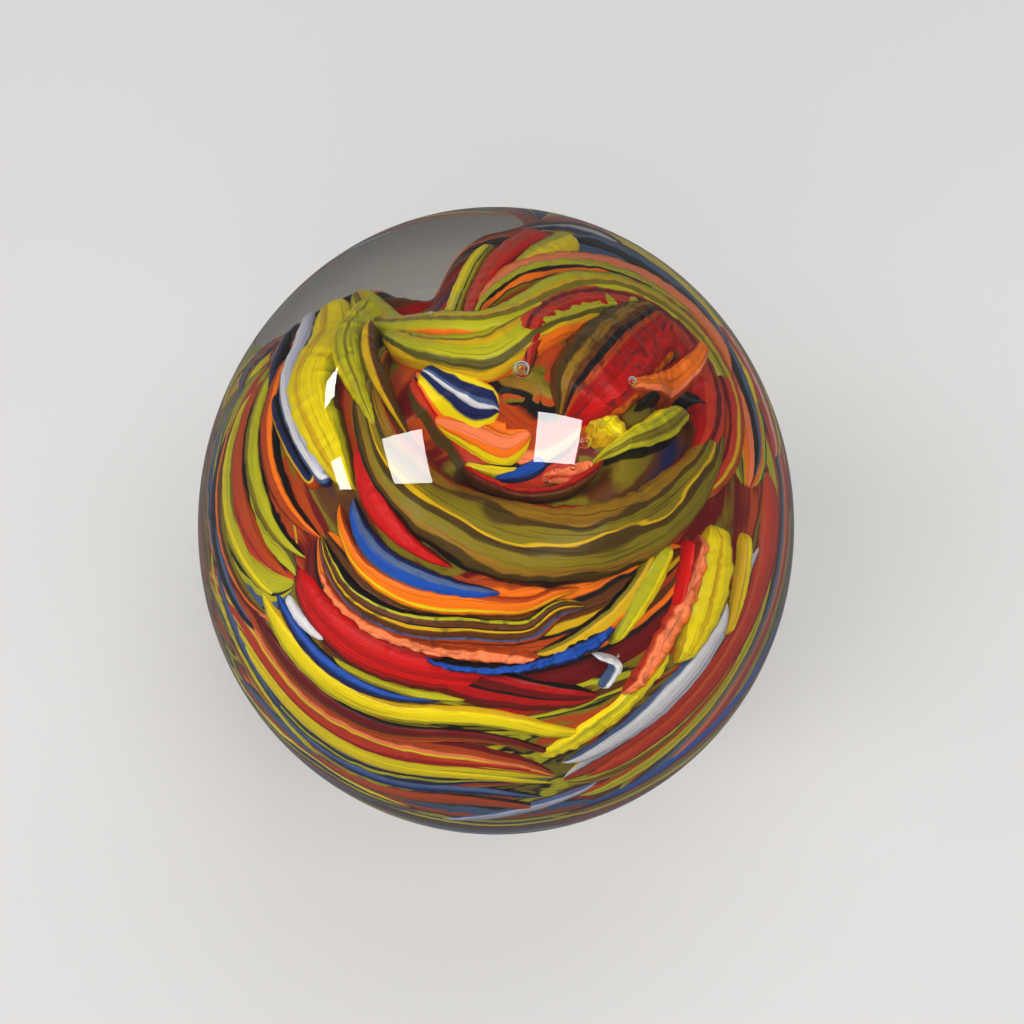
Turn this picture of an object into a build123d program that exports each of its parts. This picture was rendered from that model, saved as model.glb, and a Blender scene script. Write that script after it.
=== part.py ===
"""Egg-shaped paperweight: clear glass cast over a folded core of coloured glass, with a flat ground foot."""

import os
from math import asin, cos, pi, radians, sin

from build123d import *

# Clear glass egg, millimetres
EGG_DIAMETER = 66.0          # at the widest level
EQUATOR_HEIGHT = 30.5        # widest level above the foot
UPPER_RISE = 40.0            # equator to the rounded tip
FOOT_CUT = 4.0               # how much of the blunt end the ground foot takes off
FOOT_EDGE_RADIUS = 0.8       # softened edge of the ground foot

# Coloured core, radii from the axis and heights above the equator
CORE_BELLY_RADIUS = 21.5
CORE_BELLY_LEVEL = -4.0
CORE_SOLE_RADIUS = 9.0
CORE_SOLE_LEVEL = -25.0
SHELF_RADIUS = 18.6          # lower shelf, where the wide red band starts
SHELF_LEVEL = 8.6
SHELF_STEP = 0.9
COIL_FOOT_RADIUS = 14.6      # under the lip of the coil
COIL_FOOT_LEVEL = 13.0
COIL_CENTRE_RADIUS = 9.2     # thick coil folded round the top
COIL_CENTRE_LEVEL = 13.2
COIL_THICKNESS = 12.6

# Well in the middle of the coil
WELL_LENGTH = 15.0           # tip to tip, across the core
WELL_WIDTH = 8.6
WELL_DEPTH = 5.6             # below the top of the coil
WELL_CENTRE = (0.6, -3.0)

# Flattened rear left flank, where the clear glass is deepest
FLANK_ROUNDNESS = 60.0       # radius of the nearly flat face
FLANK_TURN = 112.0           # degrees round from +X
FLANK_LEAN = 82.0            # degrees down from the tip
FLANK_REACH = 17.6           # from the egg's centre

# Groove up the flank, between the left lobe and the rear mass
GROOVE_RADIUS = 4.0
GROOVE_TURN = 107.0
GROOVE_REACH = 15.3          # from the axis to the groove's floor

# Shell-shaped fold over the rear right of the coil
SHELL_RADIUS = 8.5
SHELL_TURN = 38.0
SHELL_LEAN = 38.0
SHELL_PROUD = 1.2            # out of the core's general surface

CORE_REACH = 20.5            # general radius of the core about the egg's centre

# Trapped air bubbles in the glass over the coil: radius, then place over the foot
BUBBLE_GAP = 0.4             # glass between a bubble and the coil's top
BUBBLES = (
    (0.75, (1.6, -1.4)),
    (0.60, (9.0, -6.0)),
    (0.45, (10.6, -0.4)),
)


def egg_point(angle):
    """Point on the egg's outline, at an angle in radians above the equator: an ellipse, taller above than below."""
    rise = UPPER_RISE if angle > 0 else lower_drop
    return (egg_radius * cos(angle), EQUATOR_HEIGHT + rise * sin(angle))


def on_core(turn, lean, reach):
    """Point at a given reach from the egg's centre, turned from +X and leaning from the tip."""
    return Vector(
        reach * sin(radians(lean)) * cos(radians(turn)),
        reach * sin(radians(lean)) * sin(radians(turn)),
        EQUATOR_HEIGHT + reach * cos(radians(lean)),
    )


egg_radius = EGG_DIAMETER / 2
lower_drop = EQUATOR_HEIGHT + FOOT_CUT
foot_angle = asin(EQUATOR_HEIGHT / lower_drop)
profile_angles = [-foot_angle] + [radians(step) for step in range(-50, 91, 10)]
coil_radius = COIL_THICKNESS / 2
coil_top = COIL_CENTRE_LEVEL + coil_radius
belly_point = (CORE_BELLY_RADIUS, EQUATOR_HEIGHT + CORE_BELLY_LEVEL)
shelf_point = (SHELF_RADIUS, EQUATOR_HEIGHT + SHELF_LEVEL)
shelf_inner = (SHELF_RADIUS - SHELF_STEP, EQUATOR_HEIGHT + SHELF_LEVEL + SHELF_STEP / 2)
coil_foot = (COIL_FOOT_RADIUS, EQUATOR_HEIGHT + COIL_FOOT_LEVEL)

# The coloured mass is one fused piece: a stepped body, a coil and a fold, cut by a well, a flank and a groove
with BuildPart() as colour_core:
    with BuildSketch(Plane.XZ):
        with BuildLine():
            Polyline(
                (0, coil_foot[1]),
                (0, EQUATOR_HEIGHT + CORE_SOLE_LEVEL),
                (CORE_SOLE_RADIUS, EQUATOR_HEIGHT + CORE_SOLE_LEVEL),
            )
            Spline(
                (CORE_SOLE_RADIUS, EQUATOR_HEIGHT + CORE_SOLE_LEVEL),
                belly_point,
                shelf_point,
                tangents=((1, 0.35), (-0.45, 1)),
            )
            Polyline(shelf_point, shelf_inner, coil_foot, (0, coil_foot[1]))
        make_face()
    revolve(axis=Axis.Z)
    with BuildSketch(Plane.XZ):
        with Locations((COIL_CENTRE_RADIUS, EQUATOR_HEIGHT + COIL_CENTRE_LEVEL)):
            Circle(coil_radius)
    revolve(axis=Axis.Z)
    with Locations(on_core(SHELL_TURN, SHELL_LEAN, CORE_REACH + SHELL_PROUD - SHELL_RADIUS)):
        Sphere(SHELL_RADIUS)
    with BuildSketch(Plane.XY.offset(EQUATOR_HEIGHT + coil_top - WELL_DEPTH)):
        with Locations(WELL_CENTRE):
            Ellipse(WELL_LENGTH / 2, WELL_WIDTH / 2)
    extrude(amount=2 * WELL_DEPTH, mode=Mode.SUBTRACT)
    with Locations(on_core(FLANK_TURN, FLANK_LEAN, FLANK_REACH + FLANK_ROUNDNESS)):
        Sphere(FLANK_ROUNDNESS, mode=Mode.SUBTRACT)
    with Locations(on_core(GROOVE_TURN, 90, GROOVE_REACH + GROOVE_RADIUS)):
        Cylinder(GROOVE_RADIUS, EGG_DIAMETER, mode=Mode.SUBTRACT)
colour_core.part.label = "colour_core"

# The clear glass fills everything between the core and the polished outside
with BuildPart() as clear_casing:
    with BuildSketch(Plane.XZ):
        with BuildLine():
            Spline([egg_point(angle) for angle in profile_angles])
            Polyline(egg_point(pi / 2), (0, 0), egg_point(-foot_angle))
        make_face()
    revolve(axis=Axis.Z)
    foot_edge = clear_casing.edges().filter_by(GeomType.CIRCLE).sort_by(Axis.Z)[0]
    fillet(foot_edge, FOOT_EDGE_RADIUS)
    add(colour_core.part, mode=Mode.SUBTRACT)
    for bubble_radius, place in BUBBLES:
        with Locations((*place, EQUATOR_HEIGHT + coil_top + BUBBLE_GAP + bubble_radius)):
            Sphere(bubble_radius, mode=Mode.SUBTRACT)
clear_casing.part.label = "clear_casing"

os.makedirs("parts", exist_ok=True)
for piece in (clear_casing, colour_core):
    export_step(piece.part, f"parts/{piece.part.label}.step")
    print(piece.part.label, "volume", round(piece.part.volume), "mm3")
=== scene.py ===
from math import asin, cos, pi, radians, sin

import bpy
import numpy as np
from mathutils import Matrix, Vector


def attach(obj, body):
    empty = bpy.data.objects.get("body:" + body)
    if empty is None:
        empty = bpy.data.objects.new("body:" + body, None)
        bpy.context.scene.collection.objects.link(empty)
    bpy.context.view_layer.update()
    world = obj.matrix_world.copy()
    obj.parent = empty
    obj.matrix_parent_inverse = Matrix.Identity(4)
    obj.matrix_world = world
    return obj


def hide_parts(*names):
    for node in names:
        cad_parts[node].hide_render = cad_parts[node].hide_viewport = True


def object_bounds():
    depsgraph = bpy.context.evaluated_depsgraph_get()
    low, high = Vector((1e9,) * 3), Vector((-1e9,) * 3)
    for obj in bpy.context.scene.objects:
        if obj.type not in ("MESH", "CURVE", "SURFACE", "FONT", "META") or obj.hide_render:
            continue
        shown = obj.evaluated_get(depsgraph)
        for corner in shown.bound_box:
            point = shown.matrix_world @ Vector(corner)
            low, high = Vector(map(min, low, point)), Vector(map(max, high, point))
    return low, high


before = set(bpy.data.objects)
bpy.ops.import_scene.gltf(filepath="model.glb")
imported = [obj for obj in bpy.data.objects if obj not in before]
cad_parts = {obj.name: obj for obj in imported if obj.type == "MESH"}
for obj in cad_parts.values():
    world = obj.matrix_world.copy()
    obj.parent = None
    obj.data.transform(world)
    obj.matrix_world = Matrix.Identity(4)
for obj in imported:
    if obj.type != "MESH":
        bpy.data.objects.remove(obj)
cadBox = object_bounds()
print("frame loaded")

mm = 0.001
low, high = cadBox
eggRadius = (high.x - low.x) / 2 / mm
eggHeight = (high.z - low.z) / mm

# the clear egg, millimetres: an ellipse that is taller above its widest ring than below it
egg = {"widest": 30.5, "drop": 34.5, "footEdge": 0.7, "rings": 150, "sides": 288}
# the middle of the widest ring, which every turn and lean is measured from
heart = np.array([0.0, 0.0, egg["widest"]])


# colours as they would be picked on a screen, 0 to 255
palette = {
    "yellow": (214, 190, 8), "gold": (190, 150, 12), "lime": (163, 158, 22), "olive": (112, 98, 18),
    "moss": (78, 72, 20), "rust": (158, 58, 16), "orange": (222, 105, 12), "peach": (226, 118, 72),
    "red": (180, 14, 12), "crimson": (150, 12, 10), "maroon": (92, 10, 12), "brown": (84, 44, 14),
    "ink": (16, 13, 12), "navy": (22, 30, 72), "blue": (20, 66, 148), "slate": (64, 82, 118),
    "bronze": (128, 92, 20), "umber": (66, 48, 14), "white": (196, 194, 196), "pearl": (168, 168, 190),
    "grey": (120, 118, 116), "brick": (172, 46, 26),
}


def paint(name):
    # screen value to linear light: ((v + 0.055) / 1.055) to the power 2.4
    return tuple(((v / 255 + 0.055) / 1.055) ** 2.4 for v in palette[name]) + (1.0,)


def ray(turn, lean):
    # unit vector: turn goes round from +X towards +Y, lean comes down from straight up, both in degrees
    t, l = np.radians(turn), np.radians(lean)
    return np.stack([np.sin(l) * np.cos(t), np.sin(l) * np.sin(t), np.cos(l)], -1)


def ease(x, start, end):
    t = np.clip((x - start) / (end - start), 0, 1)
    return t * t * (3 - 2 * t)


def hump(x, middle, spread):
    return np.exp(-(((x - middle) / spread) ** 2))


def angleFrom(rays, turn, lean):
    return np.degrees(np.arccos(np.clip(rays @ ray(turn, lean), -1, 1)))


# the coloured core: reaches and depths in millimetres, places as a turn and a lean, spreads in degrees
core = {"belly": 20.3, "swells": ((1.3, 55, 85), (1.6, 105, 135), (1.5, 130, 160)),
        "coilTurn": -80, "coilLean": 12, "coilRadius": 26, "coilSpread": 9, "coilRise": 1.3,
        "wellReach": 20, "wellCentre": (0.6, -3.6), "wellHalf": (8.6, 4.6), "wellDepth": 4.5,
        "domePlace": (36, 30), "domeSpread": 14, "domeRise": 0.9,
        "mouthPlace": (17, 43), "mouthSpread": 5, "mouthDepth": 2.2,
        "saddlePlace": (118, 44), "saddleSpread": 13, "saddle": 2.6,
        "wall": 22.2, "wallTurn": 112, "wallSpread": 42, "wallLean": 82, "wallHollow": 4.6,
        "notchTurn": 107, "notchSpread": 8, "notch": 2.4, "soft": 0.35, "columns": 384, "rows": 192}


def coreReach(rays):
    # how far the coloured core reaches along each ray: a ball that swells towards its foot, with a
    # ring-shaped coil round the top, an oval well in the coil, a dome with a mouth beside the well, a saddle
    # behind it, and a wall at the back left that stands nearer the upright axis
    turn = np.degrees(np.arctan2(rays[..., 1], rays[..., 0]))
    lean = np.degrees(np.arccos(np.clip(rays[..., 2], -1, 1)))
    reach = core["belly"]
    for rise, start, end in core["swells"]:
        reach = reach + rise * ease(lean, start, end)
    fromCoil = angleFrom(rays, core["coilTurn"], core["coilLean"])
    reach = reach + core["coilRise"] * hump(fromCoil, core["coilRadius"], core["coilSpread"])
    wellX = (core["wellReach"] * rays[..., 0] - core["wellCentre"][0]) / core["wellHalf"][0]
    wellY = (core["wellReach"] * rays[..., 1] - core["wellCentre"][1]) / core["wellHalf"][1]
    oval = wellX ** 2 + wellY ** 2
    reach = reach - core["wellDepth"] * np.clip(1 - oval, 0, 1) ** 0.7 * (rays[..., 2] > 0)
    dome = core["domeRise"] * hump(angleFrom(rays, *core["domePlace"]), 0, core["domeSpread"])
    mouth = core["mouthDepth"] * hump(angleFrom(rays, *core["mouthPlace"]), 0, core["mouthSpread"])
    saddle = core["saddle"] * hump(angleFrom(rays, *core["saddlePlace"]), 0, core["saddleSpread"])
    reach = reach + dome - mouth - saddle
    hollow = core["wallHollow"] * hump(turn, core["wallTurn"], core["wallSpread"])
    notch = core["notch"] * hump(turn, core["notchTurn"], core["notchSpread"])
    wall = core["wall"] - hollow - notch
    tilt = np.maximum(np.cos(np.radians(lean - core["wallLean"])), 0.3)
    back = np.where((turn > -20) | (turn < -170), wall / tilt, 99.0)
    # the nearer of the two, with a softened meeting
    soft = core["soft"]
    return -soft * np.logaddexp(-reach / soft, -back / soft)


def meshPiece(name, points, faces, uv=None, smooth=True):
    mesh = bpy.data.meshes.new(name)
    mesh.from_pydata((points * mm).tolist(), [], faces)
    if uv is not None:
        layer = mesh.uv_layers.new(name="along")
        corners = np.empty(len(mesh.loops), np.int32)
        mesh.loops.foreach_get("vertex_index", corners)
        layer.data.foreach_set("uv", uv[corners].astype(np.float32).ravel())
    if smooth:
        mesh.polygons.foreach_set("use_smooth", np.ones(len(mesh.polygons), bool))
    mesh.update()
    piece = bpy.data.objects.new(name, mesh)
    bpy.context.scene.collection.objects.link(piece)
    return piece


def gridFaces(rows, columns):
    # quads between neighbouring rings; the last column joins the first
    r, c = np.meshgrid(np.arange(rows - 1), np.arange(columns), indexing="ij")
    n = (c + 1) % columns
    here = r * columns
    above = (r + 1) * columns
    return np.stack([here + c, here + n, above + n, above + c], -1).reshape(-1, 4)


def ballFaces(rows, columns):
    # rings with one more point below the first and one above the last
    quads = gridFaces(rows, columns)
    foot, crown = rows * columns, rows * columns + 1
    c = np.arange(columns)
    n = (c + 1) % columns
    bottom = np.stack([np.full(columns, foot), n, c], -1)
    top = np.stack([np.full(columns, crown), (rows - 1) * columns + c, (rows - 1) * columns + n], -1)
    return quads.tolist() + bottom.tolist() + top.tolist()


def place(piece, node):
    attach(piece, "root")
    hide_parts(node)
    return piece


# finishes
def link(tree, source, target):
    tree.links.new(source, target)


def newMaterial(name):
    material = bpy.data.materials.new(name)
    material.use_nodes = True
    tree = material.node_tree
    shader = tree.nodes["Principled BSDF"]
    return material, tree, shader


def streakGroup():
    # stripes that wander: the place across a fold plus two layers of noise drawn out along it
    group = bpy.data.node_groups.new("pulledStreaks", "ShaderNodeTree")
    for socket, value in (("Seed", 0.0), ("Wander", 0.1), ("Fine", 0.05), ("Breadth", 2.0)):
        made = group.interface.new_socket(socket, in_out="INPUT", socket_type="NodeSocketFloat")
        made.default_value = value
    group.interface.new_socket("Across", in_out="OUTPUT", socket_type="NodeSocketFloat")
    group.interface.new_socket("Thread", in_out="OUTPUT", socket_type="NodeSocketFloat")
    group.interface.new_socket("Fleck", in_out="OUTPUT", socket_type="NodeSocketFloat")
    nodes = group.nodes
    inp, out = nodes.new("NodeGroupInput"), nodes.new("NodeGroupOutput")
    uv = nodes.new("ShaderNodeUVMap")
    uv.uv_map = "along"
    split = nodes.new("ShaderNodeSeparateXYZ")
    link(group, uv.outputs[0], split.inputs[0])

    def calc(kind, a, b):
        node = nodes.new("ShaderNodeMath")
        node.operation = kind
        for index, value in enumerate((a, b)):
            if isinstance(value, (int, float)):
                node.inputs[index].default_value = value
            else:
                link(group, value, node.inputs[index])
        return node.outputs[0]

    def drawn(alongScale, acrossScale, offset, scale, detail):
        # noise over (length, width) with its own stretch each way
        joined = nodes.new("ShaderNodeCombineXYZ")
        link(group, calc("MULTIPLY", split.outputs[0], alongScale), joined.inputs[0])
        link(group, calc("MULTIPLY", calc("MULTIPLY", split.outputs[1], inp.outputs["Breadth"]), acrossScale),
             joined.inputs[1])
        link(group, calc("ADD", inp.outputs["Seed"], offset), joined.inputs[2])
        noise = nodes.new("ShaderNodeTexNoise")
        noise.inputs["Scale"].default_value = scale
        noise.inputs["Detail"].default_value = detail
        link(group, joined.outputs[0], noise.inputs["Vector"])
        return noise.outputs["Fac"]

    slow = calc("SUBTRACT", drawn(0.09, 0.22, 0.0, 1.0, 2.0), 0.5)
    fine = calc("SUBTRACT", drawn(0.16, 2.6, 9.0, 1.0, 3.0), 0.5)
    slowShift = calc("MULTIPLY", slow, inp.outputs["Wander"])
    fineShift = calc("MULTIPLY", fine, inp.outputs["Fine"])
    shift = calc("ADD", slowShift, fineShift)
    across = calc("ADD", split.outputs[1], calc("DIVIDE", shift, inp.outputs["Breadth"]))
    link(group, across, out.inputs["Across"])
    link(group, drawn(0.10, 4.5, 21.0, 1.0, 4.0), out.inputs["Thread"])
    link(group, drawn(1.0, 1.3, 33.0, 1.0, 5.0), out.inputs["Fleck"])
    return group


streaks = streakGroup()


def fillRamp(ramp, stripes, blur=0.2):
    # stripes such as "red 2 ink 0.3": each colour fills its share of the width and blends shortly to the next
    words = stripes.split()
    names, shares = words[::2], np.array([float(w) for w in words[1::2]])
    edges = np.concatenate([[0], np.cumsum(shares)]) / shares.sum()
    stops = []
    for name, start, end in zip(names, edges[:-1], edges[1:]):
        soft = blur * (end - start) / 2
        stops += [(start + soft, name), (end - soft, name)]
    stops[0], stops[-1] = (0.0, stops[0][1]), (1.0, stops[-1][1])
    while len(ramp.elements) > 1:
        ramp.elements.remove(ramp.elements[-1])
    ramp.elements[0].position = stops[0][0]
    ramp.elements[0].color = paint(stops[0][1])
    for position, name in stops[1:]:
        ramp.elements.new(position).color = paint(name)


def foldFinish(name, stripes, seed, breadth, wander, thread, fleck):
    material, tree, shader = newMaterial(name)
    group = tree.nodes.new("ShaderNodeGroup")
    group.node_tree = streaks
    group.inputs["Seed"].default_value = seed
    group.inputs["Wander"].default_value = wander
    group.inputs["Fine"].default_value = 0.35
    group.inputs["Breadth"].default_value = breadth
    ramp = tree.nodes.new("ShaderNodeValToRGB")
    fillRamp(ramp.color_ramp, stripes)
    link(tree, group.outputs["Across"], ramp.inputs[0])
    # threads of darker glass along the fold
    shade = tree.nodes.new("ShaderNodeMapRange")
    shade.inputs["From Min"].default_value = 0.34
    shade.inputs["From Max"].default_value = 0.46
    shade.inputs["To Min"].default_value = thread
    shade.inputs["To Max"].default_value = 0.0
    link(tree, group.outputs["Thread"], shade.inputs[0])
    mix = tree.nodes.new("ShaderNodeMix")
    mix.data_type = "RGBA"
    mix.blend_type = "MULTIPLY"
    mix.inputs["B"].default_value = (0.10, 0.07, 0.05, 1)
    link(tree, shade.outputs[0], mix.inputs["Factor"])
    link(tree, ramp.outputs[0], mix.inputs["A"])
    colour = mix.outputs["Result"]
    if fleck:
        dots = tree.nodes.new("ShaderNodeMapRange")
        dots.inputs["From Min"].default_value = 0.55
        dots.inputs["From Max"].default_value = 0.62
        dots.inputs["To Max"].default_value = fleck
        link(tree, group.outputs["Fleck"], dots.inputs[0])
        speck = tree.nodes.new("ShaderNodeMix")
        speck.data_type = "RGBA"
        speck.inputs["B"].default_value = (0.012, 0.009, 0.008, 1)
        link(tree, dots.outputs[0], speck.inputs["Factor"])
        link(tree, colour, speck.inputs["A"])
        colour = speck.outputs["Result"]
    link(tree, colour, shader.inputs["Base Color"])
    bump = tree.nodes.new("ShaderNodeBump")
    bump.inputs["Strength"].default_value = 0.35
    bump.inputs["Distance"].default_value = 0.0003
    link(tree, group.outputs["Thread"], bump.inputs["Height"])
    link(tree, bump.outputs[0], shader.inputs["Normal"])
    shader.inputs["Roughness"].default_value = 0.32
    shader.inputs["Specular IOR Level"].default_value = 0.12
    return material


# the core's own surface
def coreSurface():
    lean = np.linspace(pi, 0, core["rows"] + 2)[1:-1]
    turn = np.linspace(-pi, pi, core["columns"], endpoint=False)
    leans, turns = np.meshgrid(lean, turn, indexing="ij")
    rays = ray(np.degrees(turns), np.degrees(leans)).reshape(-1, 3)
    rays = np.concatenate([rays, [[0, 0, -1]], [[0, 0, 1]]])
    points = heart + rays * coreReach(rays)[:, None]
    return meshPiece("coreSurface", points, ballFaces(core["rows"], core["columns"]))


def marbleFinish():
    # bands of the palette over a field that noise has swirled
    material, tree, shader = newMaterial("swirledGlass")
    where = tree.nodes.new("ShaderNodeTexCoord")
    turnIt = tree.nodes.new("ShaderNodeMapping")
    turnIt.inputs["Scale"].default_value = (26, 26, 90)
    turnIt.inputs["Rotation"].default_value = (0.5, 0.25, 0)
    link(tree, where.outputs["Object"], turnIt.inputs[0])
    swirl = tree.nodes.new("ShaderNodeTexNoise")
    swirl.inputs["Scale"].default_value = 1.0
    swirl.inputs["Detail"].default_value = 5
    swirl.inputs["Distortion"].default_value = 1.4
    link(tree, turnIt.outputs[0], swirl.inputs["Vector"])
    ramp = tree.nodes.new("ShaderNodeValToRGB")
    bands = "ink 6 navy 2 brown 1 olive 1 maroon 1 rust 1 olive 0.8 ink 0.5 lime 1 brown 1 crimson 1 "
    fillRamp(ramp.color_ramp, bands + "orange 0.6 maroon 4 ink 3", 0.4)
    link(tree, swirl.outputs["Fac"], ramp.inputs[0])
    link(tree, ramp.outputs[0], shader.inputs["Base Color"])
    shader.inputs["Roughness"].default_value = 0.35
    shader.inputs["Specular IOR Level"].default_value = 0.12
    return material


surface = coreSurface()
surface.data.materials.append(marbleFinish())
place(surface, "colour_core")
print("core surface made")


# folds of coloured glass lying on the core
foldGrid = {"along": 120, "around": 20, "sink": 0.15, "tip": 0.12}


def alongRoute(route, count):
    # a smooth line over the core: a Catmull-Rom curve through the route's rays, spread evenly by its angle
    knots = route
    knots = np.concatenate([[2 * knots[0] - knots[1]], knots, [2 * knots[-1] - knots[-2]]])
    t = np.linspace(0, len(route) - 1, 400)
    k = np.minimum(t.astype(int), len(route) - 2)
    f = (t - k)[:, None]
    a, b, c, d = knots[k], knots[k + 1], knots[k + 2], knots[k + 3]
    curve = (2 * a - 5 * b + 4 * c - d) * f ** 2 + (3 * b - a - 3 * c + d) * f ** 3
    line = 0.5 * (2 * b + (c - a) * f + curve)
    line /= np.linalg.norm(line, axis=1, keepdims=True)
    steps = np.concatenate([[0], np.cumsum(np.linalg.norm(np.diff(line, axis=0), axis=1))])
    even = np.linspace(0, steps[-1], count)
    spread = np.stack([np.interp(even, steps, line[:, i]) for i in range(3)], -1)
    place01 = np.interp(even, steps, t) / (len(route) - 1)
    return spread / np.linalg.norm(spread, axis=1, keepdims=True), even, place01


def smoothNoise(rng, rows, columns, cellRows, cellColumns):
    # random heights on a coarse net, joined by smooth curves; the last column meets the first
    coarse = rng.uniform(-1, 1, (cellRows + 1, cellColumns))
    coarse = np.concatenate([coarse, coarse[:, :1]], 1)
    r, c = np.linspace(0, cellRows, rows), np.linspace(0, cellColumns, columns, endpoint=False)
    i, j = np.minimum(r.astype(int), cellRows - 1), c.astype(int)
    u, v = ease(r - i, 0, 1)[:, None], ease(c - j, 0, 1)[None]
    top = coarse[i][:, j] * (1 - v) + coarse[i][:, j + 1] * v
    bottom = coarse[i + 1][:, j] * (1 - v) + coarse[i + 1][:, j + 1] * v
    return top * (1 - u) + bottom * u


def foldMesh(name, route, width, lift, slant, ridges, rough, seed):
    # a flattened tube along the route: across it the surface rises as a low arch, and both ends draw out to
    # a point
    rows = foldGrid["along"]
    around = foldGrid["around"] + 4 * ridges
    line, angle, share = alongRoute(route, rows)
    ahead = np.gradient(line, axis=0)
    side = np.cross(line, ahead)
    side /= np.linalg.norm(side, axis=1, keepdims=True)
    reach = coreReach(line)
    width = np.interp(share, np.linspace(0, 1, len(width)), width)
    end = np.clip(np.minimum(share, 1 - share) / foldGrid["tip"], 0, 1)
    taper = np.clip(end * (2 - end), 0.02, 1) ** 0.75
    half = width / 2 * taper
    turn = np.linspace(0, 2 * pi, around, endpoint=False)
    rng = np.random.default_rng(seed)
    edge = 1 + rough * smoothNoise(rng, rows, around, int(angle[-1] * 24) + 3, 5)
    crumb = 1 + rough * smoothNoise(rng, rows, around, int(angle[-1] * 40) + 3, 8)
    offset = half[:, None] * edge * np.cos(turn) / reach[:, None]
    rays = line[:, None] * np.cos(offset)[..., None] + side[:, None] * np.sin(offset)[..., None]
    up = np.sin(turn)
    arch = np.sqrt(1 - np.cos(turn) ** 4)
    wave = 1 + slant * np.cos(turn) + 0.2 * (ridges > 0) * np.cos(ridges * pi * np.cos(turn))
    rise = np.where(up > 0, lift * arch * wave * crumb, 0.5 * up) * taper[:, None] - foldGrid["sink"]
    points = heart + rays * (coreReach(rays) + rise)[..., None]
    length = np.repeat((angle * core["belly"])[:, None], around, 1)
    across = np.repeat(((1 - np.cos(turn)) / 2)[None], rows, 0)
    uv = np.stack([length, across], -1).reshape(-1, 2)
    # rings run round the fold so that faces look outwards, and each end is closed
    faces = gridFaces(rows, around)[:, ::-1].tolist()
    faces.append(list(range(around)))
    faces.append(list(range(rows * around - 1, (rows - 1) * around - 1, -1)))
    return meshPiece(name, points.reshape(-1, 3), faces, uv)


# ways to lay a fold, each giving rays
def through(*places):
    # a smooth line through a few places, each a turn and a lean
    return np.array([ray(turn, lean) for turn, lean in places])


def bow(start, end, sag, knots=7):
    # from one place to another, sagging most halfway
    share = np.linspace(0, 1, knots)
    turn = start[0] + (end[0] - start[0]) * share
    lean = start[1] + (end[1] - start[1]) * share + 4 * sag * share * (1 - share)
    return ray(turn, lean)


def strata(level, start, end, rise=5, notch=6, knots=11):
    # the front folds share one line: high at the left, low next, then a swell, and last a notch
    turn = np.linspace(start, end, knots)
    left = 8 * hump(turn, -160, 18)
    swell = rise * hump(turn, -96, 16)
    return ray(turn, level - left - swell + notch * hump(turn, -68, 10))


def swirl(centre, bearings, reach, flare=0.0, nearest=0.0, knots=15):
    # round a centre, a reach away that grows with the square of the way from the nearest bearing
    middle = ray(*centre)
    right = np.array([1.0, 0, 0]) - middle * middle[0]
    right /= np.linalg.norm(right)
    up = np.cross(middle, right)
    bearing = np.linspace(bearings[0], bearings[1], knots)
    away = np.radians(reach + flare * ((bearing - nearest) / 100) ** 2)[:, None]
    b = np.radians(bearing)[:, None]
    return middle * np.cos(away) + (right * np.cos(b) + up * np.sin(b)) * np.sin(away)


def lobe(row):
    # the left lobe's folds lie side by side, each a row further down
    return through((125 + 3 * row, 60 + 2 * row), (138 + 2 * row, 48 + 6 * row), (158, 46 + 5 * row),
                   (190, 38 + 4 * row), (205 - 8 * row, 37 + 3 * row))


coilPlace = (core["coilTurn"], core["coilLean"])
shellPlace = (20, 30)

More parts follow.
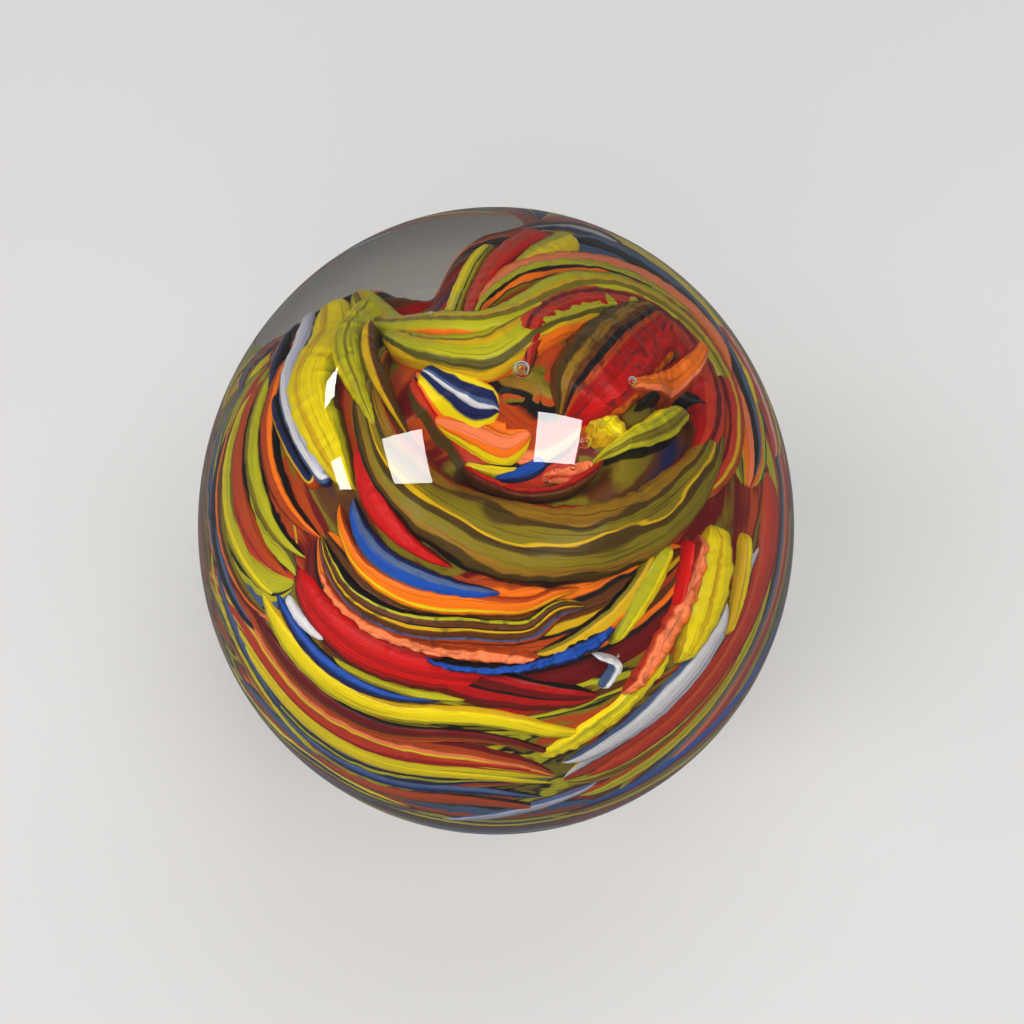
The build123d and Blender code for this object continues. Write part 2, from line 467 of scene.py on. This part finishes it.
folds = [
    # wide sheets of many stripes, which the single folds lie on
    dict(name="flankSheet", lift=0.4, width=(7, 12, 14, 13, 9), wander=2.0, ridges=9,
         stripes="ink 0.5 gold 0.6 rust 2 ink 0.4 brown 1 moss 1.5 lime 2.5 ink 0.3 brick 2 "
                 "lime 3 ink 0.5 lime 1 slate 2 ink 0.4 grey 1 peach 1",
         route=bow((145, 65), (210, 65), 8)),
    dict(name="lowSheet", lift=0.45, width=(8, 13, 13, 10, 3), wander=1.6, ridges=7,
         stripes="maroon 1.6 rust 1.2 peach 0.8 yellow 0.4 brick 1.3 yellow 0.4 crimson 0.3 "
                 "yellow 1.7 lime 0.5 slate 0.9 ink 0.5 lime 0.5 navy 0.9 rust 1.2 lime 0.5 "
                 "slate 0.6",
         route=strata(105, -180, -75)),
    dict(name="footSheet", lift=0.35, width=(10, 12, 12, 9), wander=2.0, ridges=6,
         stripes="ink 1 slate 2 rust 1.4 ink 0.4 lime 1.2 navy 1 yellow 0.7 ink 0.6 brown 2 "
                 "slate 2 pearl 1 olive 1.4 grey 1",
         route=bow((190, 125), (300, 130), 5)),
    dict(name="rightSheet", lift=0.4, width=(4, 8, 10, 10, 8, 6), wander=1.4, ridges=6,
         stripes="yellow 1 white 2 pearl 1 brown 0.4 brick 3 rust 1 ink 0.3 lime 3 yellow 1 "
                 "olive 1.5 rust 1 lime 1 slate 1",
         route=bow((-75, 110), (-5, 80), 3)),
    dict(name="edgeSheet", lift=0.3, width=(7, 10, 10, 8, 7), wander=1.6, ridges=6,
         stripes="lime 2 rust 1 ink 0.4 slate 1 grey 1 peach 1 brick 2 lime 1 olive 1 navy 1",
         route=bow((-60, 130), (35, 70), 3)),
    dict(name="middleSheet", lift=0.45, width=(6, 10, 11, 11, 10, 7), wander=1.6, ridges=8,
         stripes="rust 1 orange 2 ink 0.5 brown 2 gold 1 ink 0.4 rust 1 brown 1 orange 1 ink 0.6 "
                 "maroon 3",
         route=strata(58, -155, -25, 1, 0)),
    dict(name="topSheet", lift=0.4, width=(6, 10, 11, 10, 9, 8, 6), wander=1.4, ridges=7,
         stripes="slate 1 ink 0.5 lime 1 orange 2 rust 1 ink 0.3 peach 2 orange 2 lime 1 ink 0.3 "
                 "olive 2 lime 2 brown 1 brick 1",
         route=bow((110, 40), (0, 68), 3)),
    dict(name="wellSheet", lift=0.3, width=(5, 9, 9, 6), wander=1.4, ridges=5,
         stripes="olive 2 bronze 1 ink 1 rust 2 peach 1.5 ink 0.6 brick 2 umber 2",
         route=through((150, 20), (170, 5), (-30, 10), (-5, 20))),
    # low folds at the front, from the foot up
    dict(name="footPearl", lift=0.6, width=(0.4, 1.6, 1.8, 0.6),
         stripes="slate 1 pearl 3 grey 2",
         route=bow((-105, 130), (-65, 115), 0)),
    dict(name="footRust", lift=0.55, width=(0.6, 2.0, 2.2, 0.8),
         stripes="ink 0.5 rust 3 brown 1 lime 0.6",
         route=strata(122, -140, -75)),
    dict(name="footBlue", lift=0.7, width=(0.6, 1.8, 1.6, 0.6),
         stripes="ink 0.6 slate 2 blue 1 navy 2 ink 0.6",
         route=strata(116, -150, -78)),
    dict(name="lowYellow", lift=0.6, width=(0.8, 2.4, 2.6, 1.8, 0.9),
         stripes="lime 1 yellow 5 gold 1 ink 0.4",
         route=strata(108, -172, -76)),
    dict(name="lowRed", lift=0.55, width=(0.6, 1.5, 1.7, 1.2, 0.6),
         stripes="brick 2 crimson 2 ink 0.3",
         route=strata(102, -165, -78)),
    dict(name="lowMaroon", lift=0.65, width=(1.6, 3.2, 3.0, 2.2, 1.4, 0.6), slant=0.2,
         stripes="ink 0.3 maroon 3 brown 1 rust 2 orange 1 peach 0.6",
         route=strata(92, -158, -74, 6, 9)),
    dict(name="wideYellow", lift=0.85, width=(1.2, 3.2, 3.2, 2.4, 2.2, 2.0, 1.2), slant=0.15,
         stripes="gold 0.6 yellow 5 lime 1 yellow 1.5 olive 0.4",
         route=strata(84, -158, -68)),
    dict(name="blueUnder", lift=0.8, width=(0.6, 1.8, 1.9, 1.0, 0.4),
         stripes="ink 0.3 blue 3 navy 2 ink 1",
         route=strata(79, -154, -100)),
    dict(name="limeSliver", lift=0.8, width=(0.3, 0.9, 0.9, 0.3),
         stripes="lime 2 olive 1 ink 0.4",
         route=strata(76, -132, -96, 2)),
    dict(name="pearlChip", lift=0.95, width=(0.6, 1.3, 0.5),
         stripes="white 2 pearl 1",
         route=bow((-150, 70), (-135, 72), 1)),
    dict(name="wideRed", lift=0.9, width=(2.4, 4.2, 4.4, 3.6, 2.2), slant=0.3,
         stripes="red 5 crimson 1 red 2 crimson 1 maroon 1.5 ink 0.5",
         route=strata(69, -152, -90, 1)),
    dict(name="wideMaroon", lift=0.8, width=(1.6, 3.6, 4.4, 3.4, 1.8), slant=0.2,
         stripes="ink 1 crimson 2 maroon 2 ink 0.6 crimson 2 maroon 2 ink 0.6",
         route=bow((-125, 65), (-65, 78), -2)),
    dict(name="blueSlit", lift=1.75, width=(0.4, 1.0, 1.2, 2.0, 0.9), rough=0.25,
         stripes="ink 1 blue 3 navy 1 ink 1.2",
         route=bow((-110, 64), (-55, 60), 2)),
    dict(name="goldBrown", lift=1.15, width=(1.4, 2.6, 2.8, 2.8, 2.4, 1.6), fleck=0.5, slant=0.2,
         stripes="ink 0.7 lime 0.6 brown 2 ink 0.4 gold 0.8 brown 2 slate 0.8 rust 1 brown 1",
         route=strata(58, -153, -62, 3, -7)),
    dict(name="peachCrust", lift=1.4, width=(0.6, 1.1, 1.0, 1.4, 1.2), fleck=0.4, rough=0.3,
         stripes="rust 1 peach 3 rust 1",
         route=strata(62, -146, -75, 1, 5)),
    dict(name="orangeCrescent", lift=1.3, width=(0.8, 1.8, 2.6, 2.4, 1.6, 0.8), slant=0.2,
         stripes="rust 1.4 orange 4 yellow 0.6 orange 1 olive 0.5 ink 0.5",
         route=strata(50, -156, -62, 2, -3)),
    dict(name="blueCrescent", lift=1.4, width=(0.6, 2.2, 2.6, 2.0, 0.9),
         stripes="navy 1 slate 2 blue 3 slate 1 ink 0.5",
         route=strata(45, -153, -88, 0, 0)),
    dict(name="redWedge", lift=1.5, width=(1.0, 2.4, 2.8, 1.6, 0.5),
         stripes="crimson 1 red 6",
         route=bow((185, 28), (255, 40), 1)),
    # right front
    dict(name="whiteHook", lift=1.9, width=(0.4, 1.0, 0.5),
         stripes="white 3 slate 1",
         route=through((-65, 65), (-60, 70), (-65, 75))),
    dict(name="amberWedge", lift=1.3, width=(0.8, 2.2, 2.2, 1.2),
         stripes="ink 0.4 olive 1 gold 3 orange 2 ink 0.4",
         route=bow((-80, 62), (-35, 50), 2)),
    dict(name="oliveWedge", lift=1.45, width=(0.9, 2.6, 2.8, 1.2),
         stripes="olive 1 lime 4 yellow 3 brown 0.6",
         route=bow((-60, 65), (-30, 52), -2)),
    dict(name="redSliver", lift=2.2, width=(0.2, 0.6, 0.3),
         stripes="red 1",
         route=bow((-40, 65), (-25, 55), 0)),
    dict(name="peachWedge", lift=1.8, width=(0.9, 2.2, 1.9, 0.9), fleck=0.4, rough=0.2,
         stripes="brick 0.6 peach 4 orange 1 brown 0.5",
         route=bow((-60, 80), (-20, 58), -1)),
    dict(name="yellowPatch", lift=1.55, width=(1.4, 4.6, 5.0, 2.8), rough=0.12,
         stripes="gold 1 yellow 4 gold 0.6 yellow 4 lime 1",
         route=bow((-45, 80), (-15, 60), 1)),
    dict(name="goldPatch", lift=1.5, width=(0.6, 1.8, 1.2),
         stripes="gold 2 yellow 2 rust 1",
         route=bow((-30, 85), (-10, 70), 0)),
    dict(name="yellowVee", lift=1.05, width=(1.6, 2.4, 2.0, 1.0), rough=0.2,
         stripes="yellow 1 lime 1 yellow 4 olive 0.6",
         route=bow((-80, 95), (-45, 75), 0)),
    dict(name="whiteBand", lift=1.0, width=(0.8, 2.8, 3.8, 3.4, 1.2),
         stripes="slate 0.8 white 5 pearl 1 white 2 brown 0.4",
         route=bow((-75, 100), (-25, 78), 1)),
    dict(name="rightRed", lift=0.95, width=(1.0, 2.4, 2.8, 3.0, 3.6, 4.4, 3.0),
         stripes="rust 0.6 brick 5 crimson 1 brick 1",
         route=bow((-70, 110), (10, 75), 2)),
    dict(name="rightOlive", lift=0.75, width=(0.8, 2.4, 2.8, 2.6, 1.6),
         stripes="rust 0.6 lime 3 yellow 1.4 olive 1 yellow 1 rust 0.5",
         route=bow((-70, 120), (-5, 85), 6)),
    dict(name="fanBlue", lift=0.65, width=(0.6, 2.2, 2.2, 1.0),
         stripes="navy 1 slate 3 ink 1 blue 1",
         route=bow((185, 90), (215, 110), 0)),
    dict(name="fanYellow", lift=0.6, width=(0.4, 1.1, 1.0),
         stripes="lime 1 yellow 2 ink 0.5",
         route=bow((180, 92), (225, 120), 1)),
    dict(name="lobeDark", lift=1.0, width=(0.8, 1.2, 1.3, 1.3, 1.2, 0.7),
         stripes="ink 1 navy 2 gold 0.8 rust 0.8",
         route=lobe(2.2)),
    dict(name="lobePearl", lift=1.2, width=(0.8, 1.6, 1.8, 1.9, 1.6, 0.9),
         stripes="brown 0.3 pearl 3 white 2 slate 1 navy 0.6",
         route=lobe(1.3)),
    dict(name="lobeYellow", lift=1.6, width=(2.2, 3.6, 4.6, 4.9, 4.0, 2.4, 1.0), slant=0.1,
         stripes="olive 0.4 lime 1 yellow 6 gold 1 yellow 3 brown 0.4",
         route=lobe(0)),
    # the coil that comes round the front
    dict(name="frontRibbon", lift=2.3, width=(1.2, 3.6, 5.6, 7.0, 7.8, 7.6, 6.6, 5.0, 2.6), wander=6.0,
         thread=0.6,
         stripes="brown 1 crimson 0.4 bronze 3 umber 1.4 olive 3 gold 0.6 umber 2 olive 3 "
                 "bronze 1.4 umber 1.6 ink 0.6",
         route=swirl(coilPlace, (122, 390), 18, 19, 240)),
    dict(name="ribbonRim", lift=3.0, width=(0.5, 1.0, 1.2, 1.4, 1.0),
         stripes="crimson 1 red 1 maroon 1 brown 1",
         route=swirl(coilPlace, (170, 365), 6, 11, 240)),
    dict(name="leafOlive", lift=2.75, width=(0.4, 1.4, 1.6, 0.5),
         stripes="umber 1 brown 1 gold 1.6 olive 1",
         route=through((130, 40), (150, 30), (200, 20))),
    dict(name="leafLime", lift=2.7, width=(1.4, 2.2, 2.7, 2.8, 1.6, 0.4),
         stripes="ink 0.3 lime 3 olive 0.4 lime 2 yellow 1 olive 0.6",
         route=through((120, 50), (145, 38), (200, 25))),
    # folds round the back of the well
    dict(name="ropeYellow", lift=1.9, width=(1.6, 3.2, 4.4, 4.6, 4.0, 2.4), slant=-0.1, wander=1.8,
         stripes="lime 3 olive 0.6 gold 1 lime 2.4 moss 0.8 gold 0.5 orange 0.3",
         route=through((130, 40), (135, 22), (105, 12), (70, 20), (55, 40), (45, 48))),
    dict(name="ropeOlive", lift=2.1, width=(2.6, 3.2, 3.2, 3.4, 3.4, 3.2, 3.0, 2.6, 1.8), wander=1.6,
         stripes="yellow 0.6 moss 0.4 lime 3 gold 0.8 olive 1.6 lime 2 orange 0.5",
         route=through((120, 60), (125, 40), (110, 22), (85, 22), (65, 40), (45, 52), (15, 65))),
    dict(name="wedgeMaroon", lift=0.9, width=(0.5, 2.2, 2.4, 0.9),
         stripes="ink 0.8 maroon 3 navy 0.6 brick 1 ink 0.4",
         route=bow((120, 35), (95, 48), 0)),
    dict(name="topYellow", lift=1.1, width=(0.9, 1.7, 1.6, 0.8),
         stripes="ink 0.4 yellow 3 lime 1 ink 0.4 lime 1",
         route=bow((115, 20), (90, 55), 1)),
    dict(name="topRed", lift=1.3, width=(0.9, 1.6, 1.8, 1.8),
         stripes="brick 3 red 1",
         route=bow((105, 20), (80, 60), 2)),
    dict(name="topLime", lift=1.25, width=(0.7, 2.2, 1.8),
         stripes="lime 2 yellow 2",
         route=bow((85, 42), (75, 60), 0)),
    dict(name="topOrange", lift=1.35, width=(1.6, 4.0, 4.4, 3.4, 2.4),
         stripes="gold 0.6 orange 2 peach 3 orange 2 ink 0.2 olive 0.8 rust 1",
         route=bow((100, 25), (30, 65), 7)),
    dict(name="topOliveLine", lift=1.6, width=(0.5, 1.8, 2.0, 1.2),
         stripes="olive 1 lime 2 ink 0.4 orange 0.8 ink 0.2",
         route=bow((105, 20), (35, 60), 7)),
    dict(name="topSlate", lift=1.0, width=(0.5, 1.1, 1.1, 0.8),
         stripes="navy 1 slate 2 ink 1",
         route=bow((80, 60), (5, 70), 2)),
    dict(name="shellRed", lift=2.0, width=(2.0, 3.4, 4.2, 4.4, 4.2, 3.6, 1.8), fleck=0.3, wander=1.6,
         stripes="gold 0.6 brown 1 brick 2 maroon 1 brick 2 crimson 2 brown 1",
         route=swirl(shellPlace, (190, -35), 22)),
    dict(name="swirlOuter", lift=1.7, width=(0.8, 2.2, 2.8, 3.0, 2.6, 1.2), wander=1.6,
         stripes="peach 1 rust 2 gold 0.8 brick 2 maroon 1 rust 1",
         route=swirl(shellPlace, (105, -40), 30)),
    dict(name="shellFan", lift=2.3, width=(4.0, 6.8, 7.4, 6.2, 2.6), fleck=0.6, wander=1.6,
         stripes="brown 1 umber 2 bronze 1.4 brown 1 ink 1 rust 1 crimson 3 red 2 crimson 1 "
                 "orange 1",
         route=through((-5, 15), (20, 22), (40, 38), (45, 50))),
    dict(name="shellOrange", lift=2.6, width=(0.6, 2.2, 2.4, 1.2),
         stripes="crimson 1 orange 3 peach 0.6 rust 0.6",
         route=bow((10, 25), (35, 55), 3)),
    # painted shade: an all-black fold laid in the shadow of the fold mouth, under the orange lip
    dict(name="mouthShade", lift=1.9, width=(0.4, 1.3, 1.1, 0.4),
         stripes="ink 1",
         route=through((5, 30), (20, 42), (15, 52))),
    dict(name="lobeOlive", lift=2.6, width=(0.8, 2.4, 2.8, 1.4),
         stripes="yellow 1 lime 2 olive 2 lime 1 ink 0.4",
         route=bow((-25, 25), (15, 45), -1)),
    # inside the well
    dict(name="tearDrop", lift=1.0, width=(2.0, 4.4, 4.0, 1.2), wander=0.4,
         stripes="red 0.6 orange 0.7 yellow 1.6 navy 1.6 slate 0.6 white 0.7 navy 1.2 yellow 1.6 "
                 "orange 0.7 red 0.6",
         route=through((150, 18), (160, 8), (60, 2))),
    dict(name="orangePatch", lift=0.9, width=(0.8, 2.4, 2.6, 0.8),
         stripes="orange 2 peach 2 orange 1 yellow 0.8",
         route=through((185, 14), (200, 6), (300, 5), (350, 9))),
    dict(name="wellYellow", lift=0.7, width=(0.5, 1.2, 1.0),
         stripes="ink 1 yellow 3 lime 1",
         route=through((225, 12), (265, 10), (305, 12))),
    dict(name="wellBlue", lift=0.75, width=(0.5, 1.6, 1.3),
         stripes="ink 1 blue 4 navy 1",
         route=through((265, 13), (305, 13), (330, 15))),
    dict(name="wellGold", lift=1.4, width=(0.9, 2.0, 1.4), fleck=0.4, rough=0.4,
         stripes="gold 1 yellow 3 gold 1",
         route=bow((-5, 20), (-15, 30), 0)),
    dict(name="wellCoral", lift=1.0, width=(0.6, 1.8, 1.0), fleck=0.3, rough=0.4,
         stripes="peach 2 brick 1 peach 1",
         route=bow((-45, 17), (-25, 26), 0)),
    dict(name="rightBlush", lift=1.0, width=(0.6, 1.6, 1.8, 1.2),
         stripes="rust 1 peach 2 white 0.6 brick 1",
         route=bow((45, 70), (15, 80), 0)),
]

# the left flank: folds side by side from the low outside one up to the lobe
flankStripes = ("slate 1 ink 2 navy 2 lime 0.6", "olive 1 brown 2 orange 1.6 ink 0.6 brown 1",
                "olive 0.5 lime 2 yellow 1.6 lime 1 ink 0.4", "ink 0.4 rust 3 brick 1 brown 1",
                "ink 0.5 lime 3 olive 2 ink 0.3", "ink 0.6 orange 1.4 rust 2 maroon 1")
for row, stripes in enumerate(flankStripes):
    folds.append(dict(name="flank%d" % row, lift=0.6 + 0.1 * row, width=(0.7, 2.1, 2.1, 0.9), stripes=stripes,
                      route=bow((158 - 3 * row, 71 - 3 * row), (208, 87 - 7 * row), 8 - row)))

# the back and the underside: rows of broad folds round the core, their ends in a random place
back = {"rows": 10, "first": 60, "step": 9.5, "folds": 2, "middle": 82, "sweep": 75, "lowSweep": 190,
        "lowFrom": 125, "apart": 0.75, "stray": 9, "tilt": 5, "sag": 5, "seed": 12}
backStripes = ("ink 1 slate 2 rust 1.4 ink 0.4 lime 1.2 navy 1 yellow 0.7",
               "maroon 2 rust 1 orange 1 ink 0.5 brown 2 crimson 1",
               "olive 2 lime 2 yellow 1.4 ink 0.4 brown 1 gold 1",
               "brick 2 crimson 1 ink 0.4 white 0.6 slate 1 navy 1",
               "lime 1 yellow 2 olive 1 rust 1 ink 0.5 blue 1")
backRng = np.random.default_rng(back["seed"])
for row in range(back["rows"]):
    level = back["first"] + back["step"] * row
    sweep = back["lowSweep"] if level > back["lowFrom"] else back["sweep"]
    for part in range(back["folds"]):
        stray = backRng.uniform(-back["stray"], back["stray"])
        middle = back["middle"] + (part - 0.5) * sweep * back["apart"] + stray
        tilt = backRng.uniform(-back["tilt"], back["tilt"])
        lift = 0.55 + 0.25 * backRng.random()
        sag = backRng.uniform(-back["sag"], back["sag"])
        route = bow((middle + sweep / 2, level - tilt), (middle - sweep / 2, level + tilt), sag)
        folds.append(dict(name="back%d_%d" % (row, part), lift=lift, width=(2, 5, 5.4, 4.6, 2),
                          ridges=3, wander=2.2, slant=0.2, route=route,
                          stripes=backStripes[(row * back["folds"] + part) % len(backStripes)]))

for seed, fold in enumerate(folds):
    piece = foldMesh(fold["name"], fold["route"], fold["width"], fold["lift"], fold.get("slant", 0.0),
                     fold.get("ridges", 0), fold.get("rough", 0.06), seed)
    finish = foldFinish(fold["name"] + "Glass", fold["stripes"], seed * 3.7, max(fold["width"]),
                        fold.get("wander", 1.2), fold.get("thread", 0.45), fold.get("fleck", 0.0))
    piece.data.materials.append(finish)
    place(piece, "colour_core")
print("folds made:", len(folds))


# clear casing
def casing():
    rise = eggHeight - egg["widest"]
    footAngle = asin(egg["widest"] / egg["drop"])
    angle = np.linspace(-footAngle + 0.02, pi / 2, egg["rings"] + 1)[:-1]
    radius = eggRadius * np.cos(angle)
    height = egg["widest"] + np.where(angle > 0, rise, egg["drop"]) * np.sin(angle)
    # the foot's edge: a quadratic curve from the wall to the flat
    corner = np.array([eggRadius * cos(footAngle), 0.0])
    flat = corner - [egg["footEdge"], 0]
    t = np.linspace(0, 1, 6)[:-1, None]
    wall = np.array([radius[0], height[0]])
    edge = (1 - t) ** 2 * flat + 2 * t * (1 - t) * corner + t ** 2 * wall
    inner = np.array([[flat[0] - 0.15, 0.0]])
    profile = np.concatenate([inner, edge, np.stack([radius, height], -1)])
    turn = np.linspace(0, 2 * pi, egg["sides"], endpoint=False)
    rings = np.stack([profile[:, :1] * np.cos(turn), profile[:, :1] * np.sin(turn),
                      np.repeat(profile[:, 1:], egg["sides"], 1)], -1).reshape(-1, 3)
    points = np.concatenate([rings, [[0, 0, 0]], [[0, 0, eggHeight]]])
    return meshPiece("clearCasing", points, ballFaces(len(profile), egg["sides"]))


def clearFinish():
    # clear glass that lets light straight through to the core
    material, tree, shader = newMaterial("clearGlass")
    shader.inputs["Base Color"].default_value = (0.985, 0.992, 0.99, 1)
    shader.inputs["Transmission Weight"].default_value = 1
    shader.inputs["Roughness"].default_value = 0
    shader.inputs["IOR"].default_value = 1.5
    clear = tree.nodes.new("ShaderNodeBsdfTransparent")
    clear.inputs[0].default_value = (0.96, 0.96, 0.96, 1)
    path = tree.nodes.new("ShaderNodeLightPath")
    mix = tree.nodes.new("ShaderNodeMixShader")
    link(tree, path.outputs["Is Shadow Ray"], mix.inputs[0])
    link(tree, shader.outputs[0], mix.inputs[1])
    link(tree, clear.outputs[0], mix.inputs[2])
    out = tree.nodes["Material Output"]
    link(tree, mix.outputs[0], out.inputs["Surface"])
    # a long way through the glass comes out greyer
    depth = tree.nodes.new("ShaderNodeVolumeAbsorption")
    depth.inputs["Color"].default_value = (0.52, 0.50, 0.45, 1)
    depth.inputs["Density"].default_value = 15
    link(tree, depth.outputs[0], out.inputs["Volume"])
    return material


shell = casing()
shell.data.materials.append(clearFinish())
place(shell, "clear_casing")
print("casing made")

# air trapped over the well, and small bubbles along the creases: turn, lean, height over the core, radius
bubbles = {"air": ((45, 7, 2.6, 0.75), (-18, 21, 1.9, 0.6), (10, 27, 2.6, 0.45), (-33, 22, 1.6, 0.25),
                   (-52, 20, 1.8, 0.2), (-24, 17, 1.7, 0.22), (120, 25, 2.6, 0.2), (-60, 66, 2.6, 0.2)),
           "rows": 16, "sides": 28}


def bubble(name, turn, lean, above, radius):
    # a ball of air: rings at equal steps from pole to pole
    spot = ray(turn, lean)
    middle = heart + spot * (coreReach(spot[None])[0] + above)
    angle = np.linspace(-pi / 2, pi / 2, bubbles["rows"] + 2)[1:-1]
    circle = np.linspace(0, 2 * pi, bubbles["sides"], endpoint=False)
    a, r = np.meshgrid(angle, circle, indexing="ij")
    points = np.stack([np.cos(a) * np.cos(r), np.cos(a) * np.sin(r), np.sin(a)], -1).reshape(-1, 3)
    points = np.concatenate([points, [[0, 0, -1]], [[0, 0, 1]]]) * radius + middle
    return meshPiece(name, points, ballFaces(bubbles["rows"], bubbles["sides"]))


def airFinish():
    # air inside glass bends light the other way
    material, tree, shader = newMaterial("trappedAir")
    air = tree.nodes.new("ShaderNodeBsdfGlass")
    air.inputs["Roughness"].default_value = 0
    air.inputs["IOR"].default_value = 1 / 1.5
    tree.nodes.remove(shader)
    link(tree, air.outputs[0], tree.nodes["Material Output"].inputs["Surface"])
    return material


air = airFinish()
for index, (turn, lean, above, radius) in enumerate(bubbles["air"]):
    piece = bubble("bubble%d" % index, turn, lean, above, radius)
    piece.data.materials.append(air)
    place(piece, "clear_casing")
print("bubbles made")

# floor, lights, camera
floorMesh = bpy.data.meshes.new("floor")
floorMesh.from_pydata([(-2, -2, 0), (2, -2, 0), (2, 2, 0), (-2, 2, 0)], [], [(0, 1, 2, 3)])
floor = bpy.data.objects.new("floor", floorMesh)
bpy.context.scene.collection.objects.link(floor)
floorMaterial, _, floorShader = newMaterial("paleFloor")
floorShader.inputs["Base Color"].default_value = (0.44, 0.432, 0.425, 1)
floorShader.inputs["Roughness"].default_value = 0.8
floorMesh.materials.append(floorMaterial)
floor.visible_glossy = False

studio = {"panels": (((0.587, -0.419, 1.2), 0.46, 12.0), ((-0.978, -0.584, 1.2), 0.57, 18.0),
                     ((-2.84, -0.63, 1.2), 0.62, 22.0), ((-2.82, 1.05, 1.2), 0.60, 20.0)),
          "overhead": 0.20, "horizon": 0.16,
          "fills": (((-0.2, -1.3, 1.0), 1.5, 24.0), ((0.3, 0.9, 1.6), 1.6, 12.0))}
for index, (where, size, power) in enumerate(studio["panels"]):
    data = bpy.data.lights.new("panel%d" % index, "AREA")
    data.shape = "SQUARE"
    data.size = size
    data.energy = power
    lamp = bpy.data.objects.new("panel%d" % index, data)
    lamp.location = where
    bpy.context.scene.collection.objects.link(lamp)

# broad soft fills, which the glass doesn't mirror
for index, (where, size, power) in enumerate(studio["fills"]):
    data = bpy.data.lights.new("fill%d" % index, "AREA")
    data.shape = "SQUARE"
    data.size = size
    data.energy = power
    lamp = bpy.data.objects.new("fill%d" % index, data)
    lamp.location = where
    lamp.rotation_euler = (Vector((0, 0, 0.03)) - Vector(where)).to_track_quat("-Z", "Y").to_euler()
    lamp.visible_glossy = False
    lamp.visible_transmission = False
    bpy.context.scene.collection.objects.link(lamp)

world = bpy.data.worlds.new("softRoom")
world.use_nodes = True
worldTree = world.node_tree
background = worldTree.nodes["Background"]
background.inputs[0].default_value = (0.96, 0.98, 1.0, 1)
# the room is bright overhead and dim towards the horizon
upward = worldTree.nodes.new("ShaderNodeTexCoord")
parts = worldTree.nodes.new("ShaderNodeSeparateXYZ")
link(worldTree, upward.outputs["Generated"], parts.inputs[0])
glow = worldTree.nodes.new("ShaderNodeMapRange")
glow.inputs["From Min"].default_value = 0.1
glow.inputs["From Max"].default_value = 1.0
glow.inputs["To Min"].default_value = studio["horizon"]
glow.inputs["To Max"].default_value = studio["overhead"]
link(worldTree, parts.outputs["Z"], glow.inputs[0])
link(worldTree, glow.outputs[0], background.inputs[1])
bpy.context.scene.world = world
bpy.context.scene.view_settings.view_transform = "Standard"

view = {"elevation": 56.0, "distance": 0.25, "aim": (0, 0, 0.032), "lens": 78.9, "shift": (0.0156, 0.0146)}
cameraData = bpy.data.cameras.new("camera")
cameraData.lens = view["lens"]
cameraData.sensor_width = 36
cameraData.shift_x, cameraData.shift_y = view["shift"]
cameraData.clip_start = 0.01
camera = bpy.data.objects.new("camera", cameraData)
back = Vector((0, -cos(radians(view["elevation"])), sin(radians(view["elevation"]))))
camera.location = Vector(view["aim"]) + back * view["distance"]
camera.rotation_euler = (-back).to_track_quat("-Z", "Y").to_euler()
bpy.context.scene.collection.objects.link(camera)
bpy.context.scene.camera = camera
